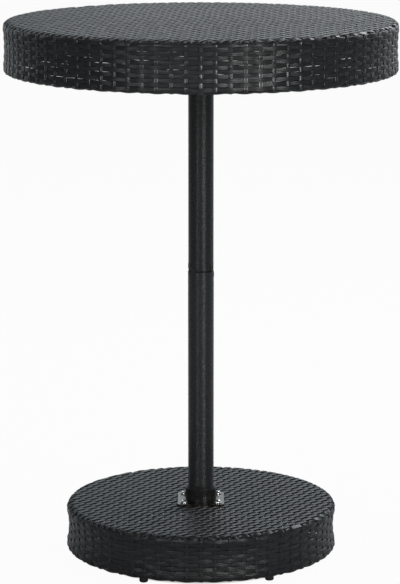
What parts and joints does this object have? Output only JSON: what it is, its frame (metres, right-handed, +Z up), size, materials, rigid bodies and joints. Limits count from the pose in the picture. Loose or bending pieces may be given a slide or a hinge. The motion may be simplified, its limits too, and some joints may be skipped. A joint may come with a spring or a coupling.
{
  "type": "round bar table",
  "caption": "Round pedestal bar table in black woven plastic strip: drum-shaped top, wrapped pole bolted by a square flange to a drum-shaped base on levelling feet.",
  "frame": {"origin": "floor level, on the pole's axis", "axes": "+Z up along the pole, -Y towards the camera of the picture, +X to its right"},
  "size_m": [0.763, 0.763, 1.06],
  "materials": {
    "woven_strip": "black extruded plastic strip, fine lengthwise ribs, satin",
    "black_steel": "black powder coat, satin",
    "zinc_plate": "bright zinc plate, slightly dulled",
    "bright_fasteners": "bright zinc plate",
    "collar_plastic": "black moulded plastic, satin",
    "foot_plastic": "black moulded plastic, matt"
  },
  "bodies": {
    "table": {"base_flange": "zinc_plate", "base_flange_bolts": "bright_fasteners", "base_flange_washers": "bright_fasteners", "base_long_bar": "black_steel", "base_lower_ring": "black_steel", "base_mount_plate": "black_steel", "base_short_bar_back": "black_steel", "base_short_bar_front": "black_steel", "base_side_band": "woven_strip", "base_strut_1": "black_steel", "base_strut_2": "black_steel", "base_strut_3": "black_steel", "base_strut_4": "black_steel", "base_strut_5": "black_steel", "base_strut_6": "black_steel", "base_upper_ring": "black_steel", "base_weave_panel": "woven_strip", "base_weld_nuts": "bright_fasteners", "collar_screw": "bright_fasteners", "foot_lugs": "black_steel", "foot_nuts": "bright_fasteners", "joining_stud": "bright_fasteners", "lower_end_plug": "bright_fasteners", "lower_pole_tube": "black_steel", "lower_pole_wrap": "woven_strip", "pole_foot_collar": "collar_plastic", "pole_top_flange": "zinc_plate", "top_flange_bolts": "bright_fasteners", "top_flange_washers": "bright_fasteners", "top_long_bar": "black_steel", "top_lower_ring": "black_steel", "top_mount_plate": "black_steel", "top_short_bar_back": "black_steel", "top_short_bar_front": "black_steel", "top_side_band": "woven_strip", "top_strut_1": "black_steel", "top_strut_2": "black_steel", "top_strut_3": "black_steel", "top_strut_4": "black_steel", "top_strut_5": "black_steel", "top_strut_6": "black_steel", "top_upper_ring": "black_steel", "top_weave_panel": "woven_strip", "top_weld_nuts": "bright_fasteners", "upper_end_plug": "bright_fasteners", "upper_pole_tube": "black_steel", "upper_pole_wrap": "woven_strip"},
    "foot_1": {"foot_pad_1": "foot_plastic", "foot_stud_1": "bright_fasteners"},
    "foot_2": {"foot_pad_2": "foot_plastic", "foot_stud_2": "bright_fasteners"},
    "foot_3": {"foot_pad_3": "foot_plastic", "foot_stud_3": "bright_fasteners"},
    "foot_4": {"foot_pad_4": "foot_plastic", "foot_stud_4": "bright_fasteners"},
    "foot_5": {"foot_pad_5": "foot_plastic", "foot_stud_5": "bright_fasteners"},
    "foot_6": {"foot_pad_6": "foot_plastic", "foot_stud_6": "bright_fasteners"}
  },
  "joints": [
    {"name": "foot_1_screw", "type": "slide", "parent": "table", "child": "foot_1", "axis": [0, 0, -1], "range_m": [0, 0.01]},
    {"name": "foot_2_screw", "type": "slide", "parent": "table", "child": "foot_2", "axis": [0, 0, -1], "range_m": [0, 0.01]},
    {"name": "foot_3_screw", "type": "slide", "parent": "table", "child": "foot_3", "axis": [0, 0, -1], "range_m": [0, 0.01]},
    {"name": "foot_4_screw", "type": "slide", "parent": "table", "child": "foot_4", "axis": [0, 0, -1], "range_m": [0, 0.01]},
    {"name": "foot_5_screw", "type": "slide", "parent": "table", "child": "foot_5", "axis": [0, 0, -1], "range_m": [0, 0.01]},
    {"name": "foot_6_screw", "type": "slide", "parent": "table", "child": "foot_6", "axis": [0, 0, -1], "range_m": [0, 0.01]}
  ]
}
